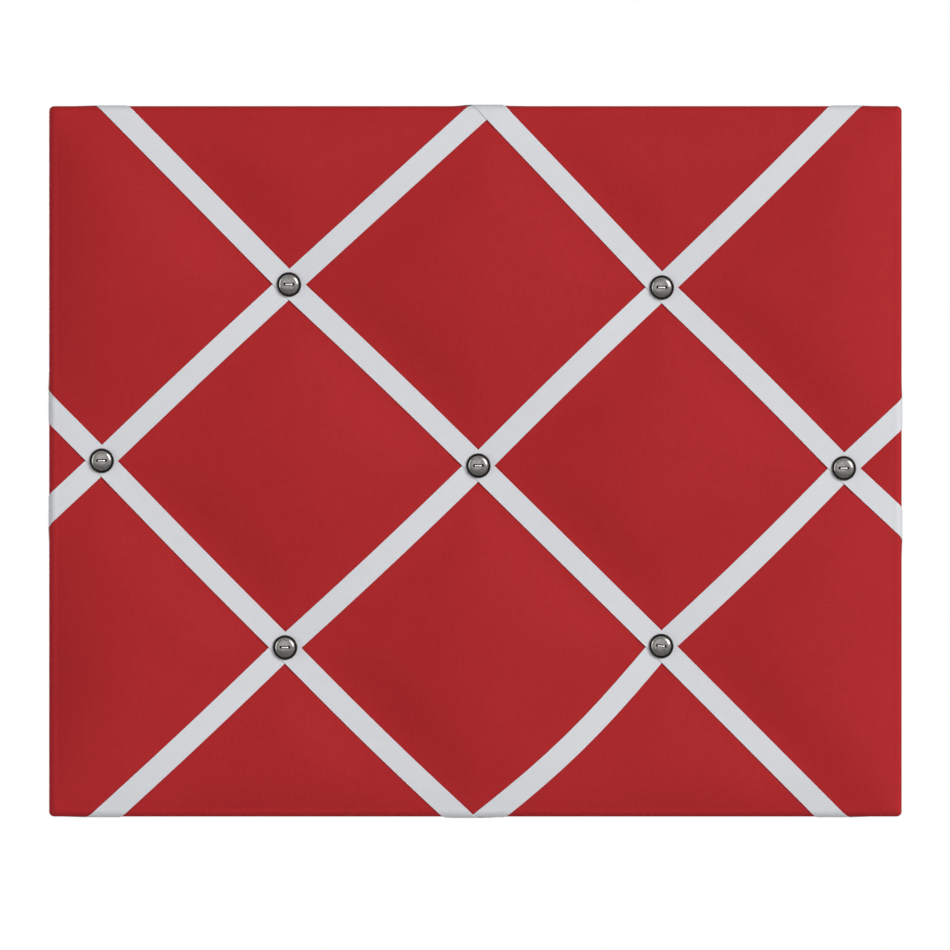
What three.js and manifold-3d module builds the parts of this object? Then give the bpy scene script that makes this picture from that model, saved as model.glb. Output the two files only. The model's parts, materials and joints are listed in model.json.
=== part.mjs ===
// French memo board: a padded board covered in cloth, with a diamond lattice of ribbons that hold
// notes and photographs, a metal button at each crossing, and two D-ring hangers on the back.
//
// Millimetres, +Z up, the front faces -Y. The origin is the centre of the backing board's rear face.

import * as THREE from 'three';
import { mergeVertices } from 'three/addons/utils/BufferGeometryUtils.js';
import Module from 'manifold-3d';

const wasm = await Module();
wasm.setup();

// Clearance between neighbouring layers and round everything that passes through a hole
const GAP = 0.3;

// Backing board
const BOARD_WIDTH = 478;
const BOARD_HEIGHT = 398;
const BOARD_THICKNESS = 6;
const BOARD_CORNER = 2;

// Padding: its thickness at the rim and under the ribbons, and how it swells and dips from there
const PAD_THICKNESS = 7.5;
const PAD_SWELL = 4;
const PAD_DIMPLE = 1.5;
const PAD_RIM_RADIUS = 3.6;
const PAD_RIM_SLOPE = 45;
const RIM_STEPS = 3;
const CORNER_STEPS = 2;
const SMALLEST_CORNER = 0.5;
const CROWN_SHARES = [0.3, 1];
const CROWN_CLEARANCE = 0.5;

// Cloth cover, turned in over the back of the board
const CLOTH_THICKNESS = 0.6;
const CLOTH_TURN_IN = 40;
const MITRE_SLIT = 0.6;

// Ribbons
const RIBBON_WIDTH = 12.7;
const RIBBON_THICKNESS = 0.5;
const RIBBON_TAIL = 16;
const RIBBON_MARGIN = 0.8;

// Diamond lattice: how far the outer buttons stand from the sides, how far beyond the top and
// bottom edges the ribbons meet, and how far round each button the padding is drawn in
const SIDE_BUTTON_INSET = 29;
const MEETING_OVERRUN = 4;
const DIMPLE_REACH = 22;

// How far each hand-set crossing strays from the true lattice, by column and row of half pitches
const CROSSING_DRIFT = {
  '-1,1': [0.2, -2.1],
  '1,1': [-0.2, -3.8],
  '-2,0': [-0.1, 0.3],
  '0,0': [1.7, -2.5],
  '2,0': [-2.8, -3.9],
  '-1,-1': [-2.0, -3.2],
  '1,-1': [-0.5, -2.4],
  '-2,2': [3.2, 0],
  '0,2': [6.8, -2],
  '2,2': [1, 0],
  '-3,1': [0, 4.7],
  '3,1': [0, -4.9],
  '-3,-1': [0, 3.7],
  '3,-1': [0, -2.8],
  '-2,-2': [-1.7, 0],
  '0,-2': [-1.6, -4],
  '2,-2': [-6.8, 0],
};

// The lowest rising ribbon was laid with a slight bow in its last stretch. Its width and the places
// along it are in half pitches.
const RIBBON_BOW = 4.7;
const BOW_WIDTH = 0.6;
const BOW_PLACES = [-1.6, -1.3, -1, -0.7, -0.4];

// Buttons: two holes in an eye-shaped recess, hollow behind
const BUTTON_DIAMETER = 14;
const BUTTON_FACE_DIAMETER = 11.6;
const BUTTON_HEIGHT = 2.5;
const BUTTON_RIM_HEIGHT = 0.9;
const BUTTON_RIM_WALL = 0.7;
const BUTTON_HOLLOW = 1;
const BUTTON_HOLLOW_TAPER = 0.4;
const BUTTON_EYE_LENGTH = 6.6;
const BUTTON_EYE_WIDTH = 2;
const BUTTON_EYE_DEPTH = 0.7;
const BUTTON_SIDES = 20;

// The round shoulder of a button's face: how far in from the face's edge and how far below its top,
// as shares of the shoulder's height
const BUTTON_SHOULDER = [[1.6, 0], [0.6, 0.14], [0.17, 0.5]];

// Wire through each button, its legs turned outwards behind the board
const WIRE_THICKNESS = 1;
const WIRE_SPAN = 4.4;
const WIRE_CLINCH = 7;

// Staples
const STAPLE_CROWN = 10;
const STAPLE_LEG = 5;
const STAPLE_WIRE = 0.6;
const STAPLE_WIDTH = 1.2;
const STAPLE_BEND = 0.42;
const RIBBON_STAPLE_INSET = 9;
const COVER_STAPLE_INSET = 22;
const COVER_STAPLE_CORNER = 62;
const COVER_STAPLES_WIDE = 2;
const COVER_STAPLES_HIGH = 2;

// D-ring hangers: a strap folded round the straight side of the ring, held by one screw
const HANGER_SPACING = 300;
const HANGER_BELOW_TOP = 64;
const STRAP_WIDTH = 10;
const STRAP_METAL = 0.8;
const STRAP_FOLD_SLIT = 0.2;
const STRAP_END = 6;
const RING_WIRE = 2;
const RING_WIDTH = 18;
const RING_HEIGHT = 14;
const RING_CORNER = 2.5;
const RING_PLACES = 28;
const RING_SIDES = 6;
const SCREW_CLEAR_OF_RING = 1.2;
const SCREW_SHANK = 3;
const SCREW_TIP = 1;
const SCREW_TAPER = 3;
const SCREW_HEAD = 6.4;
const SCREW_HEAD_HEIGHT = 2.2;
const SCREW_HEAD_EDGE = 0.75;
const SCREW_DEPTH = 5;

// Layers, as heights above the padding's surface and distances outside its outline
const CLOTH_INSIDE = GAP;
const CLOTH_OUTSIDE = CLOTH_INSIDE + CLOTH_THICKNESS;
const RIBBON_INSIDE = CLOTH_OUTSIDE + GAP;
const RIBBON_OUTSIDE = RIBBON_INSIDE + RIBBON_THICKNESS;
const RIBBON_LIFT = RIBBON_THICKNESS + GAP;

// Front of the padding's base, and the shoulder where its front edge starts to round over
const PAD_BASE = BOARD_THICKNESS + GAP;
const RIM_SHOULDER = PAD_BASE + PAD_THICKNESS - PAD_RIM_RADIUS;
const HALF_WIDTH = BOARD_WIDTH / 2;
const HALF_HEIGHT = BOARD_HEIGHT / 2;

// Further than anything reaches from the origin to the front or the back
const DEEP = 40;

const clothRed = new THREE.MeshStandardMaterial({ color: 0xaa2d33, roughness: 0.85, metalness: 0 });
const ribbonWhite = new THREE.MeshStandardMaterial({ color: 0xd8d9dc, roughness: 0.7, metalness: 0 });
const wadding = new THREE.MeshStandardMaterial({ color: 0xe9e6de, roughness: 1, metalness: 0 });
const hardboard = new THREE.MeshStandardMaterial({ color: 0x8a6a48, roughness: 0.8, metalness: 0 });
const agedNickel = new THREE.MeshStandardMaterial({ color: 0x9a9792, roughness: 0.35, metalness: 1 });
const zincSteel = new THREE.MeshStandardMaterial({ color: 0xb4b6b8, roughness: 0.4, metalness: 1 });

// A closed geometry as a solid that can be joined and cut
function solid(geometry) {
  const bare = geometry.index ? geometry.toNonIndexed() : geometry.clone();
  bare.deleteAttribute('normal');
  bare.deleteAttribute('uv');
  const merged = mergeVertices(bare, 1e-4);
  return new wasm.Manifold(new wasm.Mesh({
    numProp: 3,
    vertProperties: new Float32Array(merged.attributes.position.array),
    triVerts: new Uint32Array(merged.index.array),
  }));
}

// The geometry of a solid
function shapeOf(body) {
  const mesh = body.getMesh();
  const geometry = new THREE.BufferGeometry();
  geometry.setAttribute('position', new THREE.BufferAttribute(mesh.vertProperties, 3));
  geometry.setIndex(new THREE.BufferAttribute(mesh.triVerts, 1));
  geometry.computeVertexNormals();
  return geometry;
}

function joined(bodies) {
  return bodies.reduce((all, body) => all.add(body));
}

// A box between two corners
function block(low, high) {
  const size = high.clone().sub(low);
  const middle = high.clone().add(low).multiplyScalar(0.5);
  return new THREE.BoxGeometry(size.x, size.y, size.z).translate(middle.x, middle.y, middle.z);
}

// An outline drawn in X and Z, extruded towards the front from y = back to y = front
function extrudeToFront(outline, back, front, curveSegments) {
  const form = { depth: back - front, bevelEnabled: false, curveSegments };
  return new THREE.ExtrudeGeometry(outline, form).rotateX(Math.PI / 2).translate(0, back, 0);
}

// Equal closed loops of points joined into a skin, with flat ends
function loft(loops) {
  const points = loops.flat();
  const count = loops[0].length;
  const index = [];
  for (let k = 0; k + 1 < loops.length; k += 1) {
    for (let i = 0; i < count; i += 1) {
      const next = (i + 1) % count;
      const [a, b] = [k * count + i, k * count + next];
      index.push(a, b, b + count, a, b + count, a + count);
    }
  }
  const last = points.length - count;
  for (let i = 1; i + 1 < count; i += 1) {
    index.push(0, i + 1, i);
    index.push(last, last + i, last + i + 1);
  }
  const geometry = new THREE.BufferGeometry().setFromPoints(points);
  return geometry.setIndex(index);
}

// Lattice. A crossing stands at column i and row j of half pitches. p = i + j is constant along a
// falling ribbon and q = i - j along a rising one; ribbons lie on p or q = -2, 0 and 2.
const PITCH_X = BOARD_WIDTH / 2 - SIDE_BUTTON_INSET;
const PITCH_Z = BOARD_HEIGHT / 2 + MEETING_OVERRUN;
const RIBBON_LINES = [-2, 0, 2];
const LATTICE_SIDE = Math.hypot(PITCH_X / 2, PITCH_Z / 2);
const RIBBON_SPACING = (PITCH_X * PITCH_Z) / (2 * LATTICE_SIDE);
const UNITS_PER_MM = 2 / RIBBON_SPACING;
const RIBBON_HALF = (RIBBON_WIDTH / 2) * UNITS_PER_MM;
const CHANNEL_HALF = (RIBBON_WIDTH / 2 + RIBBON_MARGIN) * UNITS_PER_MM;
const DIMPLE_HALF = DIMPLE_REACH * UNITS_PER_MM;
const LIFT_HALF = (CHANNEL_HALF + DIMPLE_HALF) / 2;
const QUILT_OVERRUN = 0.6;

function crossingPoint(i, j) {
  const [dx, dz] = CROSSING_DRIFT[`${i},${j}`] ?? [0, 0];
  return new THREE.Vector2((i * PITCH_X) / 2 + dx, (j * PITCH_Z) / 2 + dz);
}

// Where lattice coordinates lie on the board: drift blends evenly between the four crossings round
function boardPoint(p, q) {
  const lowP = 2 * Math.floor(p / 2);
  const lowQ = 2 * Math.floor(q / 2);
  const point = new THREE.Vector2();
  for (const cornerP of [lowP, lowP + 2]) {
    for (const cornerQ of [lowQ, lowQ + 2]) {
      const share = (1 - Math.abs(p - cornerP) / 2) * (1 - Math.abs(q - cornerQ) / 2);
      const corner = crossingPoint((cornerP + cornerQ) / 2, (cornerP - cornerQ) / 2);
      point.addScaledVector(corner, share);
    }
  }
  const alongBow = p > -2 && p < 0 ? Math.sin(((p + 2) * Math.PI) / 2) : 0;
  const nearBow = Math.max(0, 1 - Math.abs(q - 2) / BOW_WIDTH);
  const bow = RIBBON_BOW * alongBow * nearBow * Math.SQRT1_2;
  return point.add(new THREE.Vector2(bow, -bow));
}

const BUTTONS = {
  top_left: [-1, 1],
  top_right: [1, 1],
  left: [-2, 0],
  centre: [0, 0],
  right: [2, 0],
  bottom_left: [-1, -1],
  bottom_right: [1, -1],
};

const clamp01 = (value) => Math.min(1, Math.max(0, value));

// Full over a channel's width, falling to nothing at the dimple's reach
function nearCrossing(distance) {
  return clamp01((DIMPLE_HALF - distance) / (DIMPLE_HALF - CHANNEL_HALF));
}

// Swell across one lattice direction: none in a channel, full half way to the next one
function swellAcross(s) {
  const distance = Math.min(...RIBBON_LINES.map((line) => Math.abs(s - line)));
  const share = clamp01((distance - CHANNEL_HALF) / (1 - CHANNEL_HALF));
  return 1 - (1 - share) ** 2;
}

function padHeight(p, q) {
  let dip = 0;
  for (const [i, j] of Object.values(BUTTONS)) {
    dip = Math.max(dip, nearCrossing(Math.abs(p - i - j)) * nearCrossing(Math.abs(q - i + j)));
  }
  return PAD_THICKNESS + PAD_SWELL * swellAcross(p) * swellAcross(q) - PAD_DIMPLE * dip;
}

// Lattice values at which the quilted surface is sampled, closest together beside the channels
function quiltStops() {
  const reach = (HALF_WIDTH / PITCH_X + HALF_HEIGHT / PITCH_Z) * 2 + QUILT_OVERRUN;
  const beside = [CHANNEL_HALF, DIMPLE_HALF];
  const stops = [-reach, -1, 1, reach];
  for (const line of RIBBON_LINES) {
    beside.forEach((step) => stops.push(line - step, line + step));
  }
  return stops.sort((a, b) => a - b);
}

// The space behind the quilted surface, raised by some height, as a block wider than the board
function quiltBlock(height) {
  const stops = quiltStops();
  const count = stops.length;
  const points = [];
  for (const p of stops) {
    for (const q of stops) {
      const { x, y: z } = boardPoint(p, q);
      points.push(new THREE.Vector3(x, -(PAD_BASE + padHeight(p, q) + height), z));
    }
  }
  const front = points.length;
  points.push(...points.map(({ x, z }) => new THREE.Vector3(x, DEEP, z)));
  const index = [];
  const quad = (a, b, c, d) => index.push(a, b, c, a, c, d);
  for (let m = 0; m + 1 < count; m += 1) {
    for (let n = 0; n + 1 < count; n += 1) {
      const a = m * count + n;
      quad(a, a + 1, a + count + 1, a + count);
      quad(front + a, front + a + count, front + a + count + 1, front + a + 1);
    }
    const [top, end] = [count * (count - 1) + m, m * count + count - 1];
    quad(m + 1, m, front + m, front + m + 1);
    quad(top, top + 1, front + top + 1, front + top);
    quad(m * count, (m + 1) * count, front + (m + 1) * count, front + m * count);
    quad(end + count, end, front + end, front + end + count);
  }
  const geometry = new THREE.BufferGeometry().setFromPoints(points).setIndex(index);
  return solid(geometry);
}

// A rectangle with round corners, inset from the board's outline, as a loop of points
function outlineLoop(inset, y) {
  const radius = Math.max(SMALLEST_CORNER, BOARD_CORNER - inset);
  const [farX, farZ] = [HALF_WIDTH - inset - radius, HALF_HEIGHT - inset - radius];
  const loop = [];
  [[1, 1], [-1, 1], [-1, -1], [1, -1]].forEach(([signX, signZ], corner) => {
    for (let k = 0; k <= CORNER_STEPS; k += 1) {
      const angle = ((corner + k / CORNER_STEPS) * Math.PI) / 2;
      const x = signX * farX + radius * Math.cos(angle);
      loop.push(new THREE.Vector3(x, y, signZ * farZ + radius * Math.sin(angle)));
    }
  });
  return loop;
}

// Round front edge of the padding, raised by some height: distance outside the outline, and y
function rimPoint(angle, height) {
  const radius = PAD_RIM_RADIUS + height;
  const outside = radius * Math.cos(angle) - PAD_RIM_RADIUS;
  return { outside, y: -(RIM_SHOULDER + radius * Math.sin(angle)) };
}

const rimAngles = Array.from({ length: RIM_STEPS + 1 }, (_, k) => (k * Math.PI) / 2 / RIM_STEPS);

// The padding's overall form: straight sides, a round front edge, then a slope up to the crown
function pillow(height, back) {
  const loops = [outlineLoop(-height, back)];
  for (const angle of rimAngles) {
    const { outside, y } = rimPoint(angle, height);
    loops.push(outlineLoop(-outside, y));
  }
  const edge = PAD_BASE + PAD_THICKNESS + height;
  for (const share of CROWN_SHARES) {
    const rise = (PAD_SWELL + CROWN_CLEARANCE) * share * (2 - share);
    loops.push(outlineLoop(PAD_RIM_RADIUS + PAD_RIM_SLOPE * share, -(edge + rise)));
  }
  return solid(loft(loops));
}

// The padding and what it rests on, raised by some height on all sides, from y = back forwards
function cushion(height, back) {
  return quiltBlock(height).intersect(pillow(height, back));
}

// The board's edges: a point some way along each and some way outside it, and the turn of its staples
const EDGES = {
  top: { along: (a, out) => [a, HALF_HEIGHT + out], turn: 0 },
  bottom: { along: (a, out) => [a, -HALF_HEIGHT - out], turn: 0 },
  left: { along: (a, out) => [-HALF_WIDTH - out, a], turn: Math.PI / 2 },
  right: { along: (a, out) => [HALF_WIDTH + out, a], turn: Math.PI / 2 },
};

// Ribbons. Each runs along one lattice line, folds over the rim at both ends and is stapled behind.
const RIBBONS = {
  falling_upper: { line: 2, falling: true },
  falling_middle: { line: 0, falling: true },
  falling_lower: { line: -2, falling: true },
  rising_upper: { line: -2, falling: false },
  rising_middle: { line: 0, falling: false },
  rising_lower: { line: 2, falling: false },
};

// A point of a ribbon's middle or side line: s runs along the ribbon, across from -1 to 1
function ribbonPoint({ line, falling }, s, across) {
  const side = line + (falling ? across : -across) * RIBBON_HALF;
  return falling ? boardPoint(side, s) : boardPoint(s, side);
}

// How far a point stands outside the line along which the front starts to round over
function pastFold(point, edge) {
  const out = {
    top: point.y - HALF_HEIGHT,
    bottom: -point.y - HALF_HEIGHT,
    left: -point.x - HALF_WIDTH,
    right: point.x - HALF_WIDTH,
  };
  return out[edge] + PAD_RIM_RADIUS;
}

// The edge over which a ribbon leaves the front, going towards +s or -s, where its lines meet the
// fold there, and how far it slides along the edge and along s for each millimetre outwards
const HALVINGS = 40;
const SLANT_STEP = 0.05;

function ribbonExit(ribbon, direction) {
  const outer = (s) => {
    const point = ribbonPoint(ribbon, s, 0);
    return Object.keys(EDGES).find((edge) => pastFold(point, edge) > 0);
  };
  let [inside, outside] = [0, direction];
  while (!outer(outside)) {
    outside += direction;
  }
  const meet = (test) => {
    let [low, high] = [inside, outside];
    for (let k = 0; k < HALVINGS; k += 1) {
      const middle = (low + high) / 2;
      [low, high] = test(middle) ? [low, middle] : [middle, high];
    }
    return high;
  };
  const edge = outer(meet((s) => outer(s) !== undefined));
  outside += direction;
  const fold = (across) => meet((s) => pastFold(ribbonPoint(ribbon, s, across), edge) > 0);
  const middle = fold(0);
  const before = ribbonPoint(ribbon, middle - SLANT_STEP * direction, 0);
  const step = ribbonPoint(ribbon, middle, 0).sub(before);
  const upright = edge === 'left' || edge === 'right';
  const [slide, outwards] = upright ? [step.y, Math.abs(step.x)] : [step.x, Math.abs(step.y)];
  const slant = slide / outwards;
  const speed = (SLANT_STEP * direction) / outwards;
  return { edge, upright, fold, slant, speed };
}

// Raise of a falling ribbon where it passes over a rising one
function liftOver(ribbon, s) {
  if (!ribbon.falling) {
    return 0;
  }
  const nearest = Math.min(...RIBBON_LINES.map((line) => Math.abs(s - line)));
  return RIBBON_LIFT * clamp01((DIMPLE_HALF - nearest) / (DIMPLE_HALF - LIFT_HALF));
}

// A ribbon's folded end, from the front edge round to its tail: places along the rim's section
function foldStations() {
  const middle = (RIBBON_INSIDE + RIBBON_OUTSIDE) / 2;
  const radius = PAD_RIM_RADIUS + middle;
  const stations = rimAngles.map((angle) => ({
    run: radius * (Math.PI / 2 - angle),
    at: (height) => rimPoint(angle, height),
  })).reverse();
  const side = stations[RIM_STEPS].run + RIM_SHOULDER + middle;
  stations.push({ run: side, at: (height) => ({ outside: height, y: height }) });
  stations.push({
    run: side + RIBBON_TAIL,
    at: (height) => ({ outside: -RIBBON_TAIL, y: height }),
  });
  return stations;
}

// How far along its edge a folded ribbon's middle or side line lies, some way past the fold
function slidAlong(ribbon, exit, across, run) {
  const point = ribbonPoint(ribbon, exit.fold(across), across);
  return (exit.upright ? point.y : point.x) + run * exit.slant;
}

// How far a folded ribbon has to be drawn back along its edge to lie inside the board's corner
function drawnBack(ribbon, exit, run) {
  const corner = (exit.upright ? HALF_HEIGHT : HALF_WIDTH) - GAP;
  const [low, high] = [-1, 1].map((across) => slidAlong(ribbon, exit, across, run)).sort((a, b) => a - b);
  return Math.max(0, high - corner) + Math.min(0, low + corner);
}

// Places along one folded end at which the ribbon's section is drawn, in order outwards
function foldedEnd(ribbon, exit) {
  return foldStations().map(({ run, at }) => (across, height) => {
    const slid = slidAlong(ribbon, exit, across, run) - drawnBack(ribbon, exit, run);
    const { outside, y } = at(height + liftOver(ribbon, exit.fold(across) + run * exit.speed));
    const [x, z] = EDGES[exit.edge].along(slid, outside);
    return new THREE.Vector3(x, y, z);
  });
}

// Places along the front at which the ribbon's section is drawn: beside each crossing and along a bow.
// A fold slants across the ribbon, so each side line keeps its places short of its own folds, and a
// place that is moved for that lies level with the fold.
const CLEAR_OF_FOLD = 0.02;

function frontPlaces(ribbon, exits) {
  const steps = [-DIMPLE_HALF, -CHANNEL_HALF, CHANNEL_HALF, DIMPLE_HALF];
  const stops = RIBBON_LINES.flatMap((line) => steps.map((step) => line + step));
  if (ribbon === RIBBONS.rising_lower) {
    stops.push(...BOW_PLACES);
  }
  const [starts, ends] = exits.map((exit) => [exit.fold(-1), exit.fold(1)]);
  const [low, high] = [Math.min(...starts), Math.max(...ends)];
  const kept = stops.filter((s) => s > low && s < high).sort((a, b) => a - b);
  return kept.map((stop, k) => (across, height) => {
    const side = across < 0 ? 0 : 1;
    const first = starts[side] + CLEAR_OF_FOLD * (k + 1);
    const last = ends[side] - CLEAR_OF_FOLD * (kept.length - k);
    const s = Math.min(last, Math.max(first, stop));
    const { x, y: z } = ribbonPoint(ribbon, s, across);
    const hollow = ribbon.falling ? padHeight(ribbon.line, s) : padHeight(s, ribbon.line);
    const bed = s === stop ? hollow : PAD_THICKNESS;
    return new THREE.Vector3(x, -(PAD_BASE + bed + height + liftOver(ribbon, s)), z);
  });
}

function ribbonExits(ribbon) {
  return [ribbonExit(ribbon, -1), ribbonExit(ribbon, 1)];
}

function ribbonShape(ribbon) {
  const exits = ribbonExits(ribbon);
  const [start, end] = exits.map((exit) => foldedEnd(ribbon, exit));
  const places = [...start.reverse(), ...frontPlaces(ribbon, exits), ...end];
  return loft(places.map((place) => [
    place(-1, RIBBON_INSIDE),
    place(1, RIBBON_INSIDE),
    place(1, RIBBON_OUTSIDE),
    place(-1, RIBBON_OUTSIDE),
  ]));
}

// The middle of a ribbon's tail, where its staple stands
function tailPoint(ribbon, exit) {
  const [edge, end] = foldedEnd(ribbon, exit).slice(-2).map((place) => place(0, 0));
  return edge.lerp(end, RIBBON_STAPLE_INSET / RIBBON_TAIL);
}

// Staples: where each stands, how it is turned and how far off the board its crown lies
function stapleList() {
  const staples = [];
  for (const [name, ribbon] of Object.entries(RIBBONS)) {
    ribbonExits(ribbon).forEach((exit, k) => {
      const { x, z } = tailPoint(ribbon, exit);
      const end = k === 0 ? 'start' : 'end';
      const { turn } = EDGES[exit.edge];
      staples.push({ name: `staple_${name}_${end}`, x, z, turn, seat: RIBBON_OUTSIDE + GAP });
    });
  }
  for (const [edge, { along, turn }] of Object.entries(EDGES)) {
    const upright = turn > 0;
    const count = upright ? COVER_STAPLES_HIGH : COVER_STAPLES_WIDE;
    const reach = (upright ? HALF_HEIGHT : HALF_WIDTH) - COVER_STAPLE_CORNER;
    for (let k = 0; k < count; k += 1) {
      const [x, z] = along(reach * ((2 * k) / (count - 1) - 1), -COVER_STAPLE_INSET);
      staples.push({ name: `staple_cover_${edge}_${k + 1}`, x, z, turn, seat: CLOTH_OUTSIDE + GAP });
    }
  }
  return staples;
}

// One staple, crown along X with its inner face at y = 0, legs towards the board
function stapleShape() {
  const half = STAPLE_CROWN / 2;
  const outline = new THREE.Shape();
  outline.moveTo(-half, -STAPLE_LEG);
  outline.lineTo(-half, STAPLE_WIRE - STAPLE_BEND);
  outline.quadraticCurveTo(-half, STAPLE_WIRE, -half + STAPLE_BEND, STAPLE_WIRE);
  outline.lineTo(half - STAPLE_BEND, STAPLE_WIRE);
  outline.quadraticCurveTo(half, STAPLE_WIRE, half, STAPLE_WIRE - STAPLE_BEND);
  outline.lineTo(half, -STAPLE_LEG);
  outline.lineTo(half - STAPLE_WIRE, -STAPLE_LEG + STAPLE_WIRE);
  outline.lineTo(half - STAPLE_WIRE, 0);
  outline.lineTo(-half + STAPLE_WIRE, 0);
  outline.lineTo(-half + STAPLE_WIRE, -STAPLE_LEG + STAPLE_WIRE);
  const form = { depth: STAPLE_WIDTH, bevelEnabled: false, curveSegments: 2 };
  return new THREE.ExtrudeGeometry(outline, form).translate(0, 0, -STAPLE_WIDTH / 2);
}

// The slots that a staple's legs need, with clearance all round
function stapleSlots({ x, z, turn, seat }) {
  const wide = STAPLE_WIDTH / 2 + GAP;
  const inner = STAPLE_CROWN / 2 - STAPLE_WIRE - GAP;
  const outer = STAPLE_CROWN / 2 + GAP;
  const bottom = seat - STAPLE_LEG - GAP;
  return joined([-1, 1].map((side) => {
    const ends = [side * inner, side * outer].sort((a, b) => a - b);
    const low = new THREE.Vector3(ends[0], bottom, -wide);
    const high = new THREE.Vector3(ends[1], DEEP, wide);
    return solid(block(low, high).rotateY(turn).translate(x, 0, z));
  }));
}

// Buttons and the wires that hold them
const BUTTON_SEAT = PAD_BASE + PAD_THICKNESS - PAD_DIMPLE + RIBBON_OUTSIDE + RIBBON_LIFT + GAP;
const BUTTON_FACE = BUTTON_SEAT + BUTTON_HEIGHT;

// A button in section: a low rim, a raised face with a round shoulder, and a hollow back
function buttonShape() {
  const rim = BUTTON_DIAMETER / 2;
  const face = BUTTON_FACE_DIAMETER / 2;
  const shoulder = BUTTON_HEIGHT - BUTTON_RIM_HEIGHT;
  const chamfer = BUTTON_RIM_HEIGHT / 4;
  const wall = rim - BUTTON_RIM_WALL;
  const rounding = BUTTON_SHOULDER.map(([inwards, down]) => [
    face - inwards * shoulder,
    BUTTON_HEIGHT - down * shoulder,
  ]);
  const profile = [
    [0, BUTTON_HEIGHT],
    ...rounding,
    [face, BUTTON_RIM_HEIGHT],
    [rim - chamfer, BUTTON_RIM_HEIGHT],
    [rim, BUTTON_RIM_HEIGHT - chamfer],
    [rim, 0],
    [wall, 0],
    [wall - BUTTON_HOLLOW_TAPER, BUTTON_HOLLOW],
    [0, BUTTON_HOLLOW],
  ].map(([radius, height]) => new THREE.Vector2(radius, -(BUTTON_SEAT + height)));
  const turned = solid(new THREE.LatheGeometry(profile, BUTTON_SIDES));
  const eye = new THREE.Shape();
  const end = (BUTTON_EYE_LENGTH - BUTTON_EYE_WIDTH) / 2;
  eye.absarc(end, 0, BUTTON_EYE_WIDTH / 2, -Math.PI / 2, Math.PI / 2);
  eye.absarc(-end, 0, BUTTON_EYE_WIDTH / 2, Math.PI / 2, (3 * Math.PI) / 2);
  const recess = extrudeToFront(eye, BUTTON_EYE_DEPTH - BUTTON_FACE, -DEEP, 4);
  return turned.subtract(solid(recess)).subtract(buttonHoles());
}

// The two round holes of a button
function buttonHoles() {
  const radius = WIRE_THICKNESS * Math.SQRT1_2 + GAP;
  return joined([-1, 1].map((side) => {
    const hole = new THREE.CylinderGeometry(radius, radius, 2 * DEEP, 8);
    return solid(hole.translate((side * WIRE_SPAN) / 2, 0, 0));
  }));
}

// The slot through the board and its layers for both legs of a wire whose button stands at x, z
function wireSlot(x, z) {
  const width = WIRE_THICKNESS + 2 * GAP;
  return solid(new THREE.BoxGeometry(WIRE_SPAN + width, 2 * DEEP, width).translate(x, 0, z));
}

// How far off the board a wire's ends lie: on the board itself, or on the turned-in cloth
function wireSeat({ x, y: z }) {
  const reach = WIRE_SPAN / 2 + WIRE_CLINCH + GAP;
  const pastX = Math.abs(x) + reach > HALF_WIDTH - CLOTH_TURN_IN;
  const pastZ = Math.abs(z) + WIRE_THICKNESS > HALF_HEIGHT - CLOTH_TURN_IN;
  return pastX || pastZ ? CLOTH_OUTSIDE + GAP : GAP;
}

// A wire: the bar across the button's eye, two legs through the board, and their turned ends
function wireShape(seat) {
  const half = WIRE_THICKNESS / 2;
  const leg = WIRE_SPAN / 2;
  const bar = -(BUTTON_FACE - BUTTON_EYE_DEPTH + GAP);
  const front = bar - WIRE_THICKNESS;
  const clinch = seat + WIRE_THICKNESS;
  const outline = new THREE.Shape();
  outline.moveTo(-leg - WIRE_CLINCH, seat);
  outline.lineTo(-leg - half, seat);
  outline.lineTo(-leg - half, front + half);
  outline.quadraticCurveTo(-leg - half, front, -leg, front);
  outline.lineTo(leg, front);
  outline.quadraticCurveTo(leg + half, front, leg + half, front + half);
  outline.lineTo(leg + half, seat);
  outline.lineTo(leg + WIRE_CLINCH, seat);
  outline.lineTo(leg + WIRE_CLINCH, clinch);
  outline.lineTo(leg, clinch);
  outline.quadraticCurveTo(leg - half, clinch, leg - half, clinch - half);
  outline.lineTo(leg - half, bar);
  outline.lineTo(-leg + half, bar);
  outline.lineTo(-leg + half, clinch - half);
  outline.quadraticCurveTo(-leg + half, clinch, -leg, clinch);
  outline.lineTo(-leg - WIRE_CLINCH, clinch);
  const form = { depth: WIRE_THICKNESS, bevelEnabled: false, curveSegments: 3 };
  return new THREE.ExtrudeGeometry(outline, form).translate(0, 0, -half);
}

// Hangers
const EYE_INSIDE = RING_WIRE / 2 + GAP;
const EYE_OUTSIDE = EYE_INSIDE + STRAP_METAL;
const RING_PIVOT_Y = GAP + EYE_OUTSIDE;
const STRAP_BACK = GAP + 2 * STRAP_METAL + STRAP_FOLD_SLIT;
const SCREW_BELOW_RING = RING_HEIGHT + RING_WIRE / 2 + SCREW_CLEAR_OF_RING + SCREW_HEAD / 2;
const STRAP_LENGTH = SCREW_BELOW_RING + STRAP_END;
const HANGER_Z = HALF_HEIGHT - HANGER_BELOW_TOP;

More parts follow.
